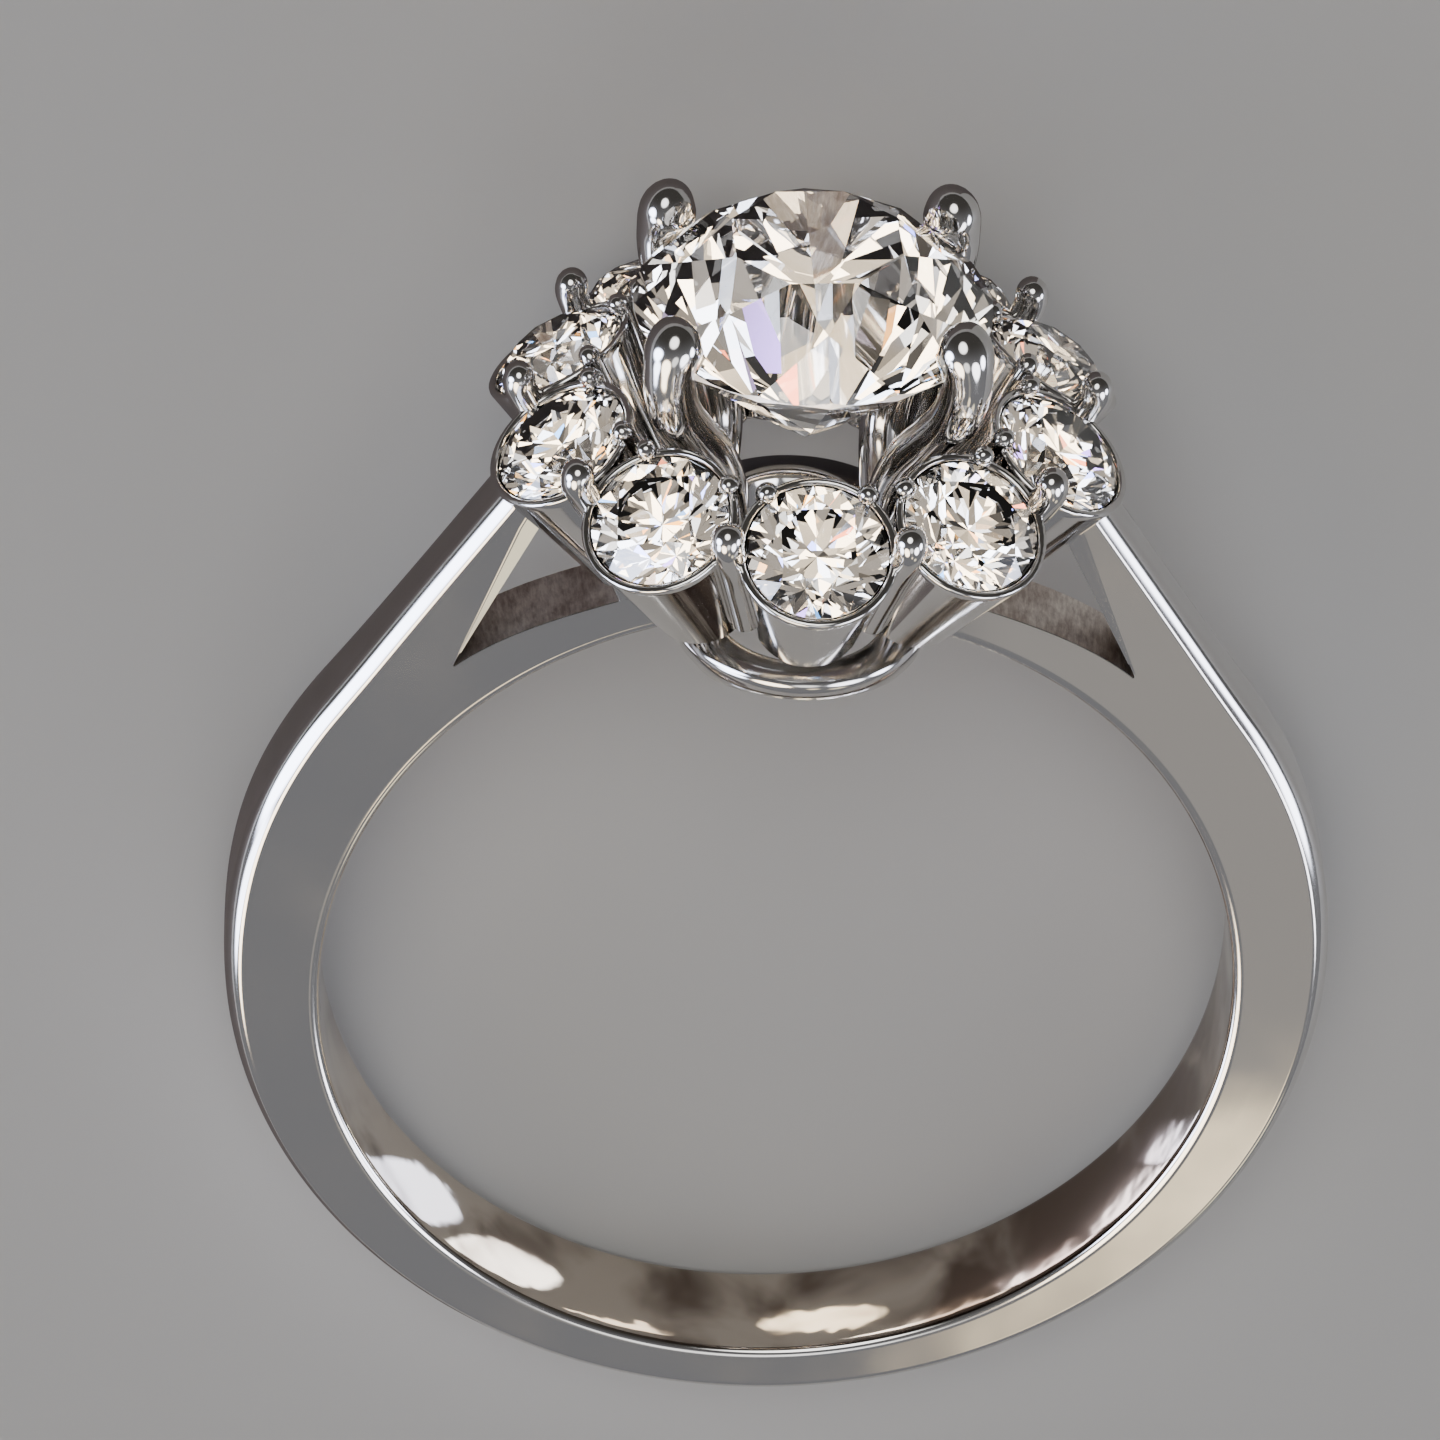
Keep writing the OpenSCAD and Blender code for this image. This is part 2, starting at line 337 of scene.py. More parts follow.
# the rings of the blank, each with the radius by which its points are known
blank = {"bore": 1, "overBore": 1.05, "underBridge": 1.95, "bridge": 2,
         "window": 2.2, "overWindow": 2.25, "underOutside": 2.95, "outside": 3}
# the rows of its points across the width, as shares of the half width
shankSteps = [-1, -0.985, -0.955, -0.91, -0.86, -0.79, -0.7, -0.58, -0.42, -0.22, 0]
shankSteps = shankSteps + [-step for step in shankSteps[-2::-1]]


def blend(value, low, high):
    # runs smoothly from 0 to 1 between low and high
    share = min(max((value - low) / (high - low), 0), 1)
    return share * share * (3 - 2 * share)


def pastFlat(rim, flat):
    # 0 over the flat part of the half width, then evenly up to 1 at the rim
    return max(0, (rim - flat) / (1 - flat))


def heightOf(points, value):
    # height of a line drawn through the points
    for (x0, y0), (x1, y1) in zip(points, points[1:]):
        if value <= x1:
            return y0 + (y1 - y0) * (value - x0) / (x1 - x0)
    return points[-1][1]


def outerEdge(angle):
    # distance from the finger's middle to the front edge: a circle, then the straight shoulder
    turn, lean = math.radians(angle), math.radians(shank["armLean"])
    trim = shank["shoulderTrim"] * blend(angle, *shank["trimAngles"])
    if angle > shank["armAngle"]:
        return (shank["edgeRadius"] + shank["edgeShift"] * math.sin(lean) - trim) / math.cos(turn - lean)
    across = shank["edgeShift"] * math.cos(turn)
    return shank["edgeShift"] * math.sin(turn) + math.sqrt(shank["edgeRadius"] ** 2 - across ** 2) - trim


def bridgeTop(angle):
    thin = blend(angle, shank["cornerAngle"], shank["bridgeAngle"])
    return shank["cornerRadius"] + (shank["bridgeRadius"] - shank["cornerRadius"]) * thin


def roundPart(ring, angle, rim):
    # distance from the finger's middle, everywhere but on the shoulders beside the windows
    corner, gap = shank["cornerAngle"], shank["loopGap"]
    inner = shank["boreRadius"] + shank["boreEdge"]
    edge = outerEdge(angle)
    # the metal between bore and outside is shared in the same way as at the window corners
    share = (shank["cornerRadius"] - inner) / (outerEdge(corner) - inner)
    middle = inner + (edge - inner) * share
    beforeCorner = angle < corner - 0.01
    if ring == "bore":
        return inner - shank["boreEdge"] * math.sqrt(max(0, 1 - pastFlat(rim, shank["boreFlat"]) ** 2))
    if ring == "overBore":
        return inner + gap
    if ring == "underBridge":
        return middle - gap if beforeCorner else bridgeTop(angle) - 2 * gap
    if ring == "bridge":
        return middle if beforeCorner else bridgeTop(angle) - shank["bridgeEdge"] * pastFlat(rim, shank["bridgeFlat"])
    if ring == "window":
        return middle + shank["cornerGap"]
    if ring == "overWindow":
        return middle + shank["cornerGap"] + gap
    return edge - gap if ring == "underOutside" else edge


def shoulderPart(angle):
    # a shoulder's window side and outside at one of the equal steps from the window corner to its top
    corner, lean = math.radians(shank["cornerAngle"]), math.radians(shank["armLean"])
    part = (angle - shank["cornerAngle"]) / shank["armSpan"]
    direction = Vector((math.cos(corner), math.sin(corner)))
    outside = direction * outerEdge(shank["cornerAngle"])
    outside += Vector((-math.tan(lean), 1)) * (shank["armTop"] - outside.y) * part
    inside = direction * (shank["cornerRadius"] + shank["cornerGap"])
    rise = (shank["armTop"] - inside.y) * part
    inside += Vector((-shank["armSlope"], 1)) * rise
    return inside, outside, rise


def shapeShank(point):
    # brings a point of the blank to its place on the shank
    side = 1 if point.x >= 0 else -1
    angle = math.degrees(math.atan2(point.z, abs(point.x)))
    reach = math.hypot(point.x, point.z)
    ring = min(blank, key=lambda name: abs(blank[name] - reach))
    across = point.y
    rim = abs(across)
    if angle < shank["cornerAngle"] + 0.01 or blank[ring] <= blank["bridge"]:
        radius, turn = roundPart(ring, angle, rim), math.radians(angle)
        x, z = radius * math.cos(turn), radius * math.sin(turn)
    else:
        inside, outside, rise = shoulderPart(angle)
        outward = (outside - inside).normalized()
        gap = shank["loopGap"] if ring in ("overWindow", "underOutside") else 0
        if ring in ("window", "overWindow"):
            # the bevel grows from the corner upward, in width and in depth
            grown = min(rise / shank["windowRise"], 1)
            bevel = pastFlat(rim, shank["windowFlat"])
            if rim > shank["windowFlat"] - 0.01:
                across = math.copysign(1 - (1 - shank["windowFlat"]) * grown * (1 - bevel), across)
            x, z = inside + outward * (shank["windowEdge"] * grown * bevel + gap)
        else:
            x, z = outside - outward * gap
    half = shank["halfWidth"] + (shank["halfTop"] - shank["halfWidth"]) * blend(z, *shank["narrowing"])
    if ring == "outside":
        # domed at the back, flat with rounded edges on the shoulders
        dome = shank["crown"] * math.sqrt(max(0, 1 - rim ** 3))
        flat = heightOf(shoulderEdge, (1 - rim) * half)
        height = dome + (flat - dome) * blend(angle, *shank["domeAngles"])
        slope = min(math.atan2(z - shank["edgeShift"], x), math.radians(shank["armLean"]))
        x, z = x + height * math.cos(slope), z + height * math.sin(slope)
    return Vector((side * x, across * half, z))


def makeShank():
    deselectAll()
    bpy.ops.mesh.primitive_circle_add(vertices=shank["around"], radius=1, rotation=(math.radians(90), 0, 0))
    piece = takeNew("shank")
    startEditing()
    radii = list(blank.values())
    for before, after in zip(radii, radii[1:]):
        bpy.ops.mesh.extrude_region_move()
        bpy.ops.transform.resize(value=(after / before, 1, after / before), center_override=(0, 0, 0))

    def inWindow(middle):
        # the windows are slits in the blank, and the metal over the bridge stops at the tops of the shoulders
        angle = math.degrees(math.atan2(middle.z, abs(middle.x)))
        reach = math.hypot(middle.x, middle.z)
        start = shank["cornerAngle"] + (0 if reach < blank["window"] else shank["armSpan"])
        return reach > blank["bridge"] and angle > start
    selectFaces(piece, inWindow)
    bpy.ops.mesh.delete(type="FACE")
    bpy.ops.mesh.select_all(action="SELECT")
    bpy.ops.transform.translate(value=(0, -1, 0))
    for before, after in zip(shankSteps, shankSteps[1:]):
        bpy.ops.mesh.extrude_region_move(TRANSFORM_OT_translate={"value": (0, after - before, 0)})
    bpy.ops.object.mode_set(mode="OBJECT")
    movePoints(piece, shapeShank)
    closeMesh(piece, 0.00005)
    smoothBelow(37)
    for material in (whiteGold, roughGold, reflectionGold):
        piece.data.materials.append(material)
    for face in piece.data.polygons:
        spot = face.center
        reach = math.hypot(spot.x, spot.z)
        facesOut = face.normal.dot(Vector((spot.x, 0, spot.z)).normalized()) > 0.8
        # the bore, which carries the painted reflections
        if reach < shank["boreRadius"] + 0.02:
            face.material_index = 2
        # the top of the bridge
        if 9.2 < reach < 9.6 and spot.z > 7.2 and facesOut:
            face.material_index = 1
    return piece


layDown(makeShank(), "white_gold", "mount")
print("shank made")

# Foot under the head: a stadium of metal round an opening, hollowed to the finger

foot = {
    "around": 96,
    "loops": [  # half width across, half length along the finger, height
        (1.46, 2.86, 8.9), (1.46, 2.86, 8.2), (1.52, 2.92, 8.0), (1.72, 2.97, 8.0), (1.86, 3.1, 8.1),
        (2.08, 3.32, 8.35), (2.25, 3.49, 8.6), (2.34, 3.58, 8.85), (2.36, 3.6, 8.97), (2.32, 3.56, 9.04),
        (2.2, 3.44, 9.05), (1.62, 3.0, 9.05), (1.48, 2.88, 9.0),
    ],
}


def makeFoot():
    deselectAll()
    bpy.ops.mesh.primitive_circle_add(vertices=foot["around"], radius=1,
                                      rotation=(0, 0, math.radians(180 / foot["around"])))
    piece = takeNew("foot")
    startEditing()
    for step in range(1, len(foot["loops"])):
        bpy.ops.mesh.extrude_region_move(TRANSFORM_OT_translate={"value": (0, 0, 1)})
    bpy.ops.object.mode_set(mode="OBJECT")

    def shape(point):
        # each circle becomes two half circles joined by straight sides, no lower than the finger hole
        halfAcross, halfAlong, height = foot["loops"][round(point.z)]
        side = 1 if point.y >= 0 else -1
        x = point.x * halfAcross
        y = point.y * halfAcross + side * (halfAlong - halfAcross)
        return Vector((x, y, max(height, math.sqrt((shank["boreRadius"] + 0.01) ** 2 - x ** 2))))
    movePoints(piece, shape)
    onlySelect(piece)
    bpy.ops.object.mode_set(mode="EDIT")
    bridgeEnds(piece)
    closeMesh(piece, 0.00005)
    smoothBelow(50)
    piece.data.materials.append(whiteGold)
    return piece


layDown(makeFoot(), "white_gold", "mount")

# Walls that carry the side cups down to the bridge

sideWall = {
    "profile": [(2.7, 8.5), (3.25, 8.5), (4.2, 10.9), (3.5, 10.9)],  # distance from the head's axis, height
    "spread": 13,   # degrees to each side
    "steps": 10,
    "edge": 0.08,
}


def makeSideWall(name, turn):
    deselectAll()
    bpy.ops.mesh.primitive_plane_add(size=1, rotation=(math.radians(90), 0, 0))
    piece = takeNew(name)
    corners = sorted(piece.data.vertices, key=lambda point: math.atan2(point.co.z, point.co.x))
    for point, (across, height) in zip(corners, sideWall["profile"]):
        point.co = (across, 0, height)
    startEditing()
    spread = math.radians(sideWall["spread"])
    bpy.ops.transform.rotate(value=spread, orient_axis="Z", center_override=(0, 0, 0))
    bpy.ops.mesh.spin(steps=sideWall["steps"], angle=2 * spread, center=(0, 0, 0), axis=(0, 0, 1))
    bpy.ops.object.mode_set(mode="OBJECT")
    # the spin may run either way, so the middle of the wall is brought to its place
    middle = sum((Vector(point.co) for point in piece.data.vertices), Vector()) / len(piece.data.vertices)
    piece.data.transform(Matrix.Rotation(turn - math.atan2(middle.y, middle.x), 4, "Z"))
    closeMesh(piece)
    bevel = piece.modifiers.new("edges", "BEVEL")
    bevel.width = sideWall["edge"]
    bevel.segments = 3
    bevel.limit_method = "ANGLE"
    bevel.angle_limit = math.radians(50)
    onlySelect(piece)
    bpy.ops.object.modifier_apply(modifier="edges")
    smoothBelow(50)
    piece.data.materials.append(whiteGold)
    return piece


for name, turn in (("side_wall_left", math.pi), ("side_wall_right", 0)):
    layDown(makeSideWall(name, turn), "white_gold", "mount")
print("foot and walls made")

# Cups of the halo

halo = {"count": 10, "radius": 4.63, "height": 12.6, "lean": 32, "stone": 2.5}
halo["step"] = 360 / halo["count"]
cup = {
    "around": 48,
    "profile": [  # radius and height: outside from the foot to the rim, then the seat and the light hole
        (0.93, -2.88), (0.99, -2.84), (1.05, -2.4), (1.14, -1.8), (1.24, -1.15), (1.34, -0.55), (1.41, -0.12),
        (1.435, 0.02), (1.425, 0.06), (1.395, 0.085), (1.345, 0.09), (1.305, 0.075), (1.285, 0.04), (1.28, -0.05),
        (1.15, -0.2), (0.86, -0.5), (0.72, -1.2), (0.55, -2.5), (0.5, -2.82), (0.56, -2.88),
    ],
}


def haloPlace(index):
    move = Matrix.Translation((0, -halo["radius"], halo["height"]))
    return turnAbout("Z", halo["step"] * index) @ move @ turnAbout("X", halo["lean"])


def makeCup():
    # a circle is pulled up once for each point of the profile, widened to it and closed on itself
    deselectAll()
    radius, height = cup["profile"][0]
    bpy.ops.mesh.primitive_circle_add(vertices=cup["around"], radius=radius, location=(0, 0, height))
    piece = takeNew("cup")
    startEditing()
    for before, after in zip(cup["profile"], cup["profile"][1:]):
        bpy.ops.mesh.extrude_region_move(TRANSFORM_OT_translate={"value": (0, 0, after[1] - before[1])})
        wider = after[0] / before[0]
        bpy.ops.transform.resize(value=(wider, wider, 1), center_override=(0, 0, 0))
    bridgeEnds(piece)
    closeMesh(piece)
    smoothBelow(40)
    piece.data.materials.append(whiteGold)
    return piece


firstCup = makeCup()
for index in range(halo["count"]):
    layDown(copyTo(firstCup, "cup_%02d" % (index + 1), haloPlace(index)), "white_gold", "mount")
bpy.data.objects.remove(firstCup)
print("cups made")

# Claws: each is a round wire drawn up straight, then bent along its path, with a rounded tip

centreStone = {"size": 6.4, "height": 14.66, "turn": 3}
# a stone's cut, as shares of its width and angles in degrees
centreCut = {"around": 64, "girdle": 0.02, "table": 0.25, "crownAngle": 40.5, "pavilionAngle": 40.9,
             "starReach": 0.37, "lowerReach": 0.115}
haloCut = {"around": 48, "girdle": 0.02, "table": 0.28, "crownAngle": 35, "pavilionAngle": 42.6,
           "starReach": 0.379, "lowerReach": 0.13}

# a path is distance outward and height: from the head's axis, or for inner claws from their stone's
centreClaw = {"path": [(2.3, 8.75), (2.06, 10.2), (2.02, 11.6), (2.36, 12.5), (2.86, 13.2), (3.27, 13.85),
                       (3.45, 14.5), (3.44, 15), (3.28, 15.4), (3.02, 15.62)],
              "shaft": 0.47, "waist": 0.45, "tip": 0.52, "around": 28, "steps": 64,
              "turns": (49, 131, 229, 311)}
outerClaw = {"path": [(3.6, 10.3), (4.45, 11.7), (5.04, 12.65), (5.16, 13.02), (4.98, 13.3)],
             "shaft": 0.3, "waist": 0.26, "tip": 0.3, "around": 20, "steps": 40}
innerClaw = {"path": [(-1.02, -1.9), (-1.2, -1.1), (-1.37, -0.3), (-1.4, 0.12), (-1.22, 0.3)],
             "shaft": 0.17, "waist": 0.15, "tip": 0.2, "around": 18, "steps": 40,
             "turns": {"a": -40, "b": 40}}


def wirePath(points, steps):
    # places at equal steps of a smooth curve through the points
    spots = []
    count = len(points) - 1
    for index in range(steps + 1):
        where = index / steps * count
        part = min(int(where), count - 1)
        t = where - part
        near = (points[max(part - 1, 0)], points[part], points[part + 1], points[min(part + 2, count)])
        spots.append(Vector([
            0.5 * (2 * b + (c - a) * t + (2 * a - 5 * b + 4 * c - d) * t ** 2 + (3 * b - a - 3 * c + d) * t ** 3)
            for a, b, c, d in zip(*near)
        ]))
    return spots


def makeClaw(claw):
    # the wire runs in the plane x = 0, and outward is towards -Y
    steps, tip = claw["steps"], claw["tip"]
    deselectAll()
    bpy.ops.mesh.primitive_circle_add(vertices=claw["around"], radius=1, fill_type="NGON")
    piece = takeNew("claw")
    startEditing()
    for step in range(steps):
        bpy.ops.mesh.extrude_region_move(TRANSFORM_OT_translate={"value": (0, 0, 1)})
    bpy.ops.object.mode_set(mode="OBJECT")
    spots = wirePath([(-outward, height) for outward, height in claw["path"]], steps)
    lengths = [0]
    for before, after in zip(spots, spots[1:]):
        lengths.append(lengths[-1] + (after - before).length)
    total = lengths[-1]

    def shape(point):
        index = round(point.z)
        before, after = spots[max(index - 1, 0)], spots[min(index + 1, steps)]
        direction = (after - before).normalized()
        left = total - lengths[index]
        radius = claw["shaft"] + (claw["waist"] - claw["shaft"]) * blend(left, 0, total)
        if left < 2 * tip:
            # the rounded tip, a little longer than a ball
            bulge = math.sqrt(max(0, 1 - ((left - tip) / tip) ** 2)) if left < tip else 1
            radius = max((tip + (radius - tip) * blend(left, tip, 2 * tip)) * bulge, 0.001)
        spot = spots[index]
        up = -point.y * radius
        return Vector((point.x * radius, spot.x + direction.y * up, spot.y - direction.x * up))
    movePoints(piece, shape)
    closeMesh(piece)
    smoothBelow(60)
    piece.data.materials.append(whiteGold)
    return piece


def notch(point):
    # the claws are filed to take the centre stone's edge, 0.03 mm clear of it
    height = point.z - centreStone["height"]
    slope = math.tan(math.radians(centreCut["pavilionAngle" if height < 0 else "crownAngle"]))
    girdle = centreStone["size"] * centreCut["girdle"]
    away = -height if height < 0 else max(height - girdle, 0)
    room = centreStone["size"] / 2 - away / slope + 0.03
    reach = math.hypot(point.x, point.y)
    if 1 < reach < room:
        point.x, point.y = point.x * room / reach, point.y * room / reach
    return point


firstClaw = makeClaw(centreClaw)
movePoints(firstClaw, notch)
for index, turn in enumerate(centreClaw["turns"]):
    layDown(copyTo(firstClaw, "centre_claw_%d" % (index + 1), turnAbout("Z", turn)), "white_gold", "mount")
bpy.data.objects.remove(firstClaw)
firstClaw = makeClaw(outerClaw)
for index in range(halo["count"]):
    place = turnAbout("Z", halo["step"] * (index + 0.5))
    layDown(copyTo(firstClaw, "outer_claw_%02d" % (index + 1), place), "white_gold", "mount")
bpy.data.objects.remove(firstClaw)
firstClaw = makeClaw(innerClaw)
for index in range(halo["count"]):
    for side, turn in innerClaw["turns"].items():
        place = haloPlace(index) @ turnAbout("Z", turn)
        layDown(copyTo(firstClaw, "inner_claw_%02d%s" % (index + 1, side), place), "white_gold", "mount")
bpy.data.objects.remove(firstClaw)
print("claws made")

# Diamonds: round brilliants, cut facet by facet from a round blank one unit wide


def cutFacet(point, normal):
    bpy.ops.mesh.select_all(action="SELECT")
    bpy.ops.mesh.bisect(plane_co=point, plane_no=normal, use_fill=True, clear_outer=True, clear_inner=False,
                        threshold=0.000001)


def planeThrough(a, b, c):
    # a plane through three points, facing away from the stone's middle
    normal = (b - a).cross(c - a).normalized()
    return a, normal if normal.dot(a - Vector((0, 0, -0.05))) > 0 else -normal


def onTurn(degrees, radius, height):
    turn = math.radians(degrees)
    return Vector((radius * math.cos(turn), radius * math.sin(turn), height))


def makeBrilliant(name, cut):
    deselectAll()
    bpy.ops.mesh.primitive_cylinder_add(vertices=cut["around"], radius=0.5, depth=1, location=(0, 0, -0.2))
    piece = takeNew(name)
    startEditing()
    girdle, table, star, lower = cut["girdle"], cut["table"], cut["starReach"], cut["lowerReach"]
    crownTurn, pavilionTurn = math.radians(cut["crownAngle"]), math.radians(cut["pavilionAngle"])
    half = math.cos(math.radians(22.5))
    top = girdle + (0.5 - table) * math.tan(crownTurn)
    starHeight = girdle + (0.5 - star * half) * math.tan(crownTurn)
    lowerHeight = -(0.5 - lower * half) * math.tan(pavilionTurn)
    cutFacet(Vector((0, 0, top)), Vector((0, 0, 1)))
    # eight kites, stars and pavilion mains
    for step in range(8):
        kite = 22.5 + 45 * step
        cutFacet(onTurn(kite, 0.5, girdle), onTurn(kite, math.sin(crownTurn), math.cos(crownTurn)))
        cutFacet(*planeThrough(onTurn(kite, table, top), onTurn(kite + 45, table, top),
                               onTurn(kite + 22.5, star, starHeight)))
        cutFacet(onTurn(kite, 0.5, 0), onTurn(kite, math.sin(pavilionTurn), -math.cos(pavilionTurn)))
    # sixteen upper and sixteen lower halves along the girdle
    for step in range(8):
        turn = 45 * step
        for side in (-22.5, 22.5):
            for reach, height, edge in ((star, starHeight, girdle), (lower, lowerHeight, 0)):
                cutFacet(*planeThrough(onTurn(turn, reach, height), onTurn(turn + side, 0.5, edge),
                                       onTurn(turn, 0.5, edge)))
    bpy.ops.object.mode_set(mode="OBJECT")
    closeMesh(piece, 0.00001)
    bpy.ops.object.shade_flat()
    piece.data.materials.append(diamond)
    piece.data.materials.append(frosted)
    for face in piece.data.polygons:
        if abs(face.normal.z) < 0.05:
            face.material_index = 1
    return piece


firstStone = makeBrilliant("centre_diamond", centreCut)
print("brilliant has", len(firstStone.data.polygons), "faces")
place = Matrix.Translation((0, 0, centreStone["height"])) @ turnAbout("Z", centreStone["turn"])
firstStone.matrix_world = place @ Matrix.Scale(centreStone["size"], 4)
layDown(firstStone, "diamond", "centre_stone")
firstStone = makeBrilliant("halo", haloCut)
# each stone sits in its cup at a turn of its own
for index, turn in enumerate((3, 17, 31, 8, 25, 12, 38, 20, 5, 29)):
    place = haloPlace(index) @ turnAbout("Z", turn) @ Matrix.Scale(halo["stone"], 4)
    stone = copyTo(firstStone, "halo_diamond_%02d" % (index + 1), place)
    layDown(stone, "diamond", "halo_stone_%02d" % (index + 1))
bpy.data.objects.remove(firstStone)
print("diamonds cut")

# Floor, light and camera


def paleFloor():
    # Matt laminate board: pale, almost even, with a faint cloud of tone
    material, place = startMaterial("matteBoardPale")
    cloud = addNoise(material, place, 14, 2)
    return setShader(material, {"Roughness": 0.7}, {"Base Color": addTones(material, cloud, "#BDBBB8", "#C4C3C0")})


deselectAll()
bpy.ops.mesh.primitive_grid_add(x_subdivisions=8, y_subdivisions=8, size=1.6)
floor = bpy.context.object
floor.name = "floor"
floor.data.materials.append(paleFloor())


def addSoftbox(name, azimuth, elevation, size, glow, colour, distance=0.6, seenBy="all", even=0.3):
    # a rectangular light that looks at the ring, even in the middle and fading to its edges
    turn, rise = math.radians(azimuth), math.radians(elevation)
    spot = Vector((math.cos(turn) * math.cos(rise), math.sin(turn) * math.cos(rise), math.sin(rise))) * distance
    bpy.ops.object.light_add(type="AREA", location=spot)
    light = bpy.context.object
    light.name = name
    light.rotation_euler = (Vector((0, 0, 0.005)) - spot).to_track_quat("-Z", "Y").to_euler()
    light.data.shape = "RECTANGLE"
    light.data.size, light.data.size_y = size
    light.data.energy = glow * math.pi * size[0] * size[1]
    light.data.color = linear(colour)[:3]
    light.data.use_nodes = True
    light.visible_camera = False
    # some of them are seen only in the metal or through the stones, and put no light on the floor
    light.visible_diffuse = seenBy == "all"
    light.visible_glossy = seenBy != "stones"
    light.visible_transmission = seenBy != "metal"
    spread = addNode(light.data, "ShaderNodeNewGeometry")
    offset = addNode(light.data, "ShaderNodeVectorMath", settings={"operation": "DISTANCE"},
                     values={1: (0.5, 0.5, 0)}, links={0: spread.outputs["Parametric"]})
    fade = addRange(light.data, offset.outputs["Value"], 0.5, even, kind="SMOOTHSTEP")
    fillSockets(light.data, light.data.node_tree.nodes["Emission"], links={"Strength": fade})
    return light


# azimuth 0 is the picture's left side, 90 its bottom, 180 its right side and -90 its top
addSoftbox("softboxAbove", -75, 62, (0.6, 0.6), 4.3, "#FFFFFF", 0.8)
addSoftbox("softboxFill", 100, 64, (0.36, 0.36), 2, "#FFFFFF", 0.8)
addSoftbox("edgeLeft", 8, 26, (0.32, 0.5), 16, "#D9E3FF", seenBy="metal")
addSoftbox("edgeRight", 168, 20, (0.3, 0.26), 12, "#E4EAFF", seenBy="metal")
addSoftbox("clawCool", 32, 22, (0.26, 0.34), 12, "#DCE5FF", seenBy="metal")
addSoftbox("warmPatch", 101.5, 35.6, (0.105, 0.114), 2.3, "#FFE9C0", seenBy="metal", even=0.33)
addSoftbox("warmGlow", 101, 46, (0.09, 0.2), 0.2, "#FFF3DC", seenBy="metal")
addSoftbox("warmLow", 115.5, 20, (0.14, 0.15), 1.7, "#FFF2CC", seenBy="metal")
addSoftbox("clawWarm", 56, 48, (0.38, 0.34), 9, "#FFEBCF", seenBy="metal", even=0.38)
addSoftbox("clawRight", 143, 43, (0.34, 0.36), 8, "#F1F3FF", seenBy="metal", even=0.38)
addSoftbox("stoneFill", -90, 24, (1.2, 0.7), 1.9, "#FFE8C8", seenBy="stones")
addSoftbox("stoneBack", 90, 58, (1, 0.6), 0.5, "#FFF2E0", 0.8, seenBy="stones")
addSoftbox("stoneSky", 0, 90, (4, 4), 0.55, "#FFEBCF", 1, seenBy="stones")

# bright squares for the stones to flash with, and small coloured ones for their fire
sparkles = [  # azimuth, elevation, size
    (-165, 22, 0.25), (-140, 48, 0.21), (-122, 18, 0.27), (-100, 42, 0.22), (-82, 14, 0.25), (-64, 38, 0.23),
    (-46, 16, 0.24), (-28, 44, 0.22), (-12, 20, 0.23), (-90, 70, 0.24), (150, 50, 0.22), (30, 52, 0.22),
    (90, 66, 0.24),
]
for index, (azimuth, elevation, size) in enumerate(sparkles):
    colour = "#FFE4BE" if index % 3 else "#E4ECFF"
    addSoftbox("sparkle_%02d" % (index + 1), azimuth, elevation, (size, size), 24, colour, seenBy="stones")
glints = [  # azimuth, elevation, colour
    (-84, 28, "#FF9A2E"), (-96, 54, "#2E62FF"), (-130, 34, "#FF7A48"), (-50, 28, "#3CA8FF"), (-110, 60, "#FFB84E"),
    (-70, 8, "#4A6CFF"), (-20, 32, "#FFA83C"), (-155, 36, "#B48CFF"), (120, 60, "#FFB050"),
]
for index, (azimuth, elevation, colour) in enumerate(glints):
    addSoftbox("glint_%02d" % (index + 1), azimuth, elevation, (0.11, 0.11), 9, colour, seenBy="stones")

# small glowing cards lie flat inside the ring, and only the metal mirrors them
cards = [  # place in mm, size in mm, turn, glow, tone
    ((4.75, 8.5), (1.75, 0.85), -24, 5, "#DDE6FF"),
    ((3.05, 9.15), (1.6, 0.85), -15, 6, "#FFFFFF"),
    ((1.1, 8.95), (1.1, 0.5), -3, 4, "#FFEFD8"),
    ((-0.95, 9.45), (1.6, 0.8), 7, 5, "#FFF0D2"),
    ((-1.7, 8.45), (1.8, 0.5), -2, 12, "#FFF8EE"),
    ((-2.84, 8.41), (2.2, 0.46), 9, 20, "#F6F4FF"),
    ((-4.17, 8.06), (2.4, 0.46), 19.6, 24, "#EEF1FF"),
    ((-5.28, 7.57), (1.7, 0.44), 30.7, 20, "#E4EAFF"),
]
for index, ((x, y), (long, wide), turn, glow, tone) in enumerate(cards):
    card = addSoftbox("card_%02d" % (index + 1), 0, 0, (long * mm, wide * mm), glow, tone, seenBy="metal", even=0.4)
    card.location = (x * mm, y * mm, 0.00005)
    card.rotation_euler = (math.radians(180), 0, math.radians(turn))


def darkReflectionPaper():
    # Matt brown card that paints dark reflections into the metal, seen from above only
    material, place = startMaterial("paperDarkReflection")
    fibre = addNoise(material, place, 900, 2)
    setShader(material, {"Roughness": 0.9}, {"Base Color": addTones(material, fibre, "#5E5552", "#6E6562")})
    nodes = material.node_tree.nodes
    side = addNode(material, "ShaderNodeNewGeometry")
    clear = addNode(material, "ShaderNodeBsdfTransparent")
    both = addNode(material, "ShaderNodeMixShader", links={
        0: side.outputs["Backfacing"], 1: nodes["Principled BSDF"].outputs["BSDF"], 2: clear.outputs["BSDF"]})
    fillSockets(material, nodes["Material Output"], links={"Surface": both.outputs["Shader"]})
    return material
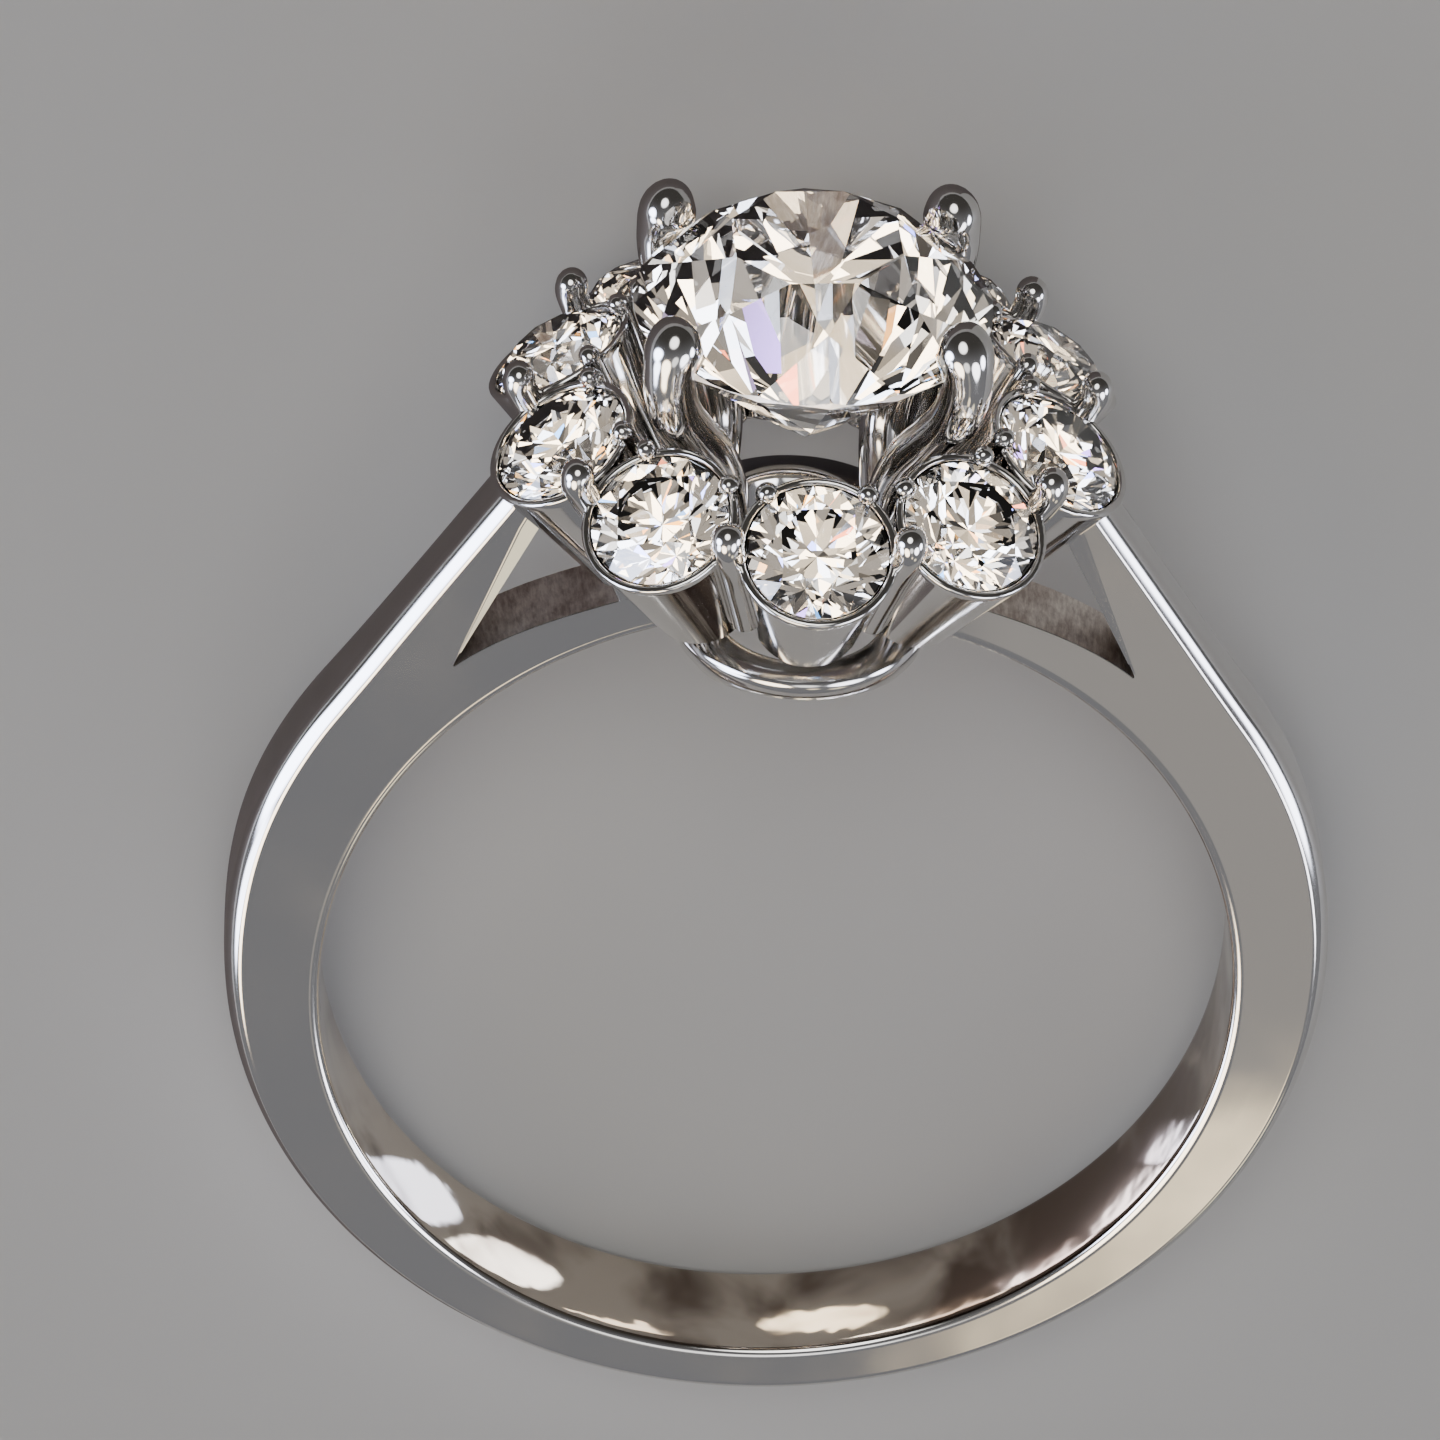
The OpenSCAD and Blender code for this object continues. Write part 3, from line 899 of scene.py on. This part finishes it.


# painted dark reflections: a dark paper flag lies round the head and the left shoulder, only for the metal to mirror,
# so that its edges stand out from the floor
flag = {"middle": (0, 0.0033, 0.00006), "inner": 0.0088, "outer": 0.045, "from": -112, "to": 60}
deselectAll()
bpy.ops.mesh.primitive_circle_add(vertices=90, radius=flag["inner"], location=(0, 0, 0))
darkReflectionFlag = takeNew("darkReflectionFlag")
startEditing()
bpy.ops.mesh.extrude_region_move()
grow = flag["outer"] / flag["inner"]
bpy.ops.transform.resize(value=(grow, grow, 1), center_override=(0, 0, 0))
selectFaces(darkReflectionFlag, lambda middle: not flag["from"] < math.degrees(math.atan2(middle.y, middle.x)) < flag["to"])
bpy.ops.mesh.delete(type="FACE")
bpy.ops.mesh.select_all(action="SELECT")
bpy.ops.mesh.normals_make_consistent(inside=False)
bpy.ops.object.mode_set(mode="OBJECT")
darkReflectionFlag.location = flag["middle"]
darkReflectionFlag.data.materials.append(darkReflectionPaper())
# the camera, bounced light and shadows don't see it, so it only paints dark reflections into the metal
darkReflectionFlag.visible_camera = darkReflectionFlag.visible_diffuse = darkReflectionFlag.visible_transmission = darkReflectionFlag.visible_shadow = False

# the room round the ring is darker behind the head and paler in front
studio = {"dark": "#4A4846", "pale": "#8A8B90", "from": -0.6, "to": 0.7}
world = bpy.data.worlds.new("studio")
bpy.context.scene.world = world
world.use_nodes = True
toward = addNode(world, "ShaderNodeTexCoord").outputs["Generated"]
parts = addNode(world, "ShaderNodeSeparateXYZ", links={"Vector": toward})
share = addRange(world, parts.outputs["Y"], studio["from"], studio["to"], kind="SMOOTHSTEP")
fillSockets(world, world.node_tree.nodes["Background"], {"Strength": 1},
            {"Color": addTones(world, share, studio["dark"], studio["pale"])})

# the camera's place and its own three axes, in metres
view = {
    "right": (-0.998595, -0.035844, 0.039033), "up": (0.01708, -0.91494, -0.403228),
    "back": (0.050166, -0.401995, 0.914267), "spot": (0.0095267, -0.0684054, 0.1550681), "lens": 225,
}
bpy.ops.object.camera_add()
camera = bpy.context.object
camera.data.lens = view["lens"]
camera.data.sensor_width = 36
camera.data.sensor_fit = "HORIZONTAL"
camera.data.clip_start = 0.005
rows = zip(view["right"], view["up"], view["back"], view["spot"])
camera.matrix_world = Matrix([*rows, (0, 0, 0, 1)])
bpy.context.scene.camera = camera

print("scene ready")
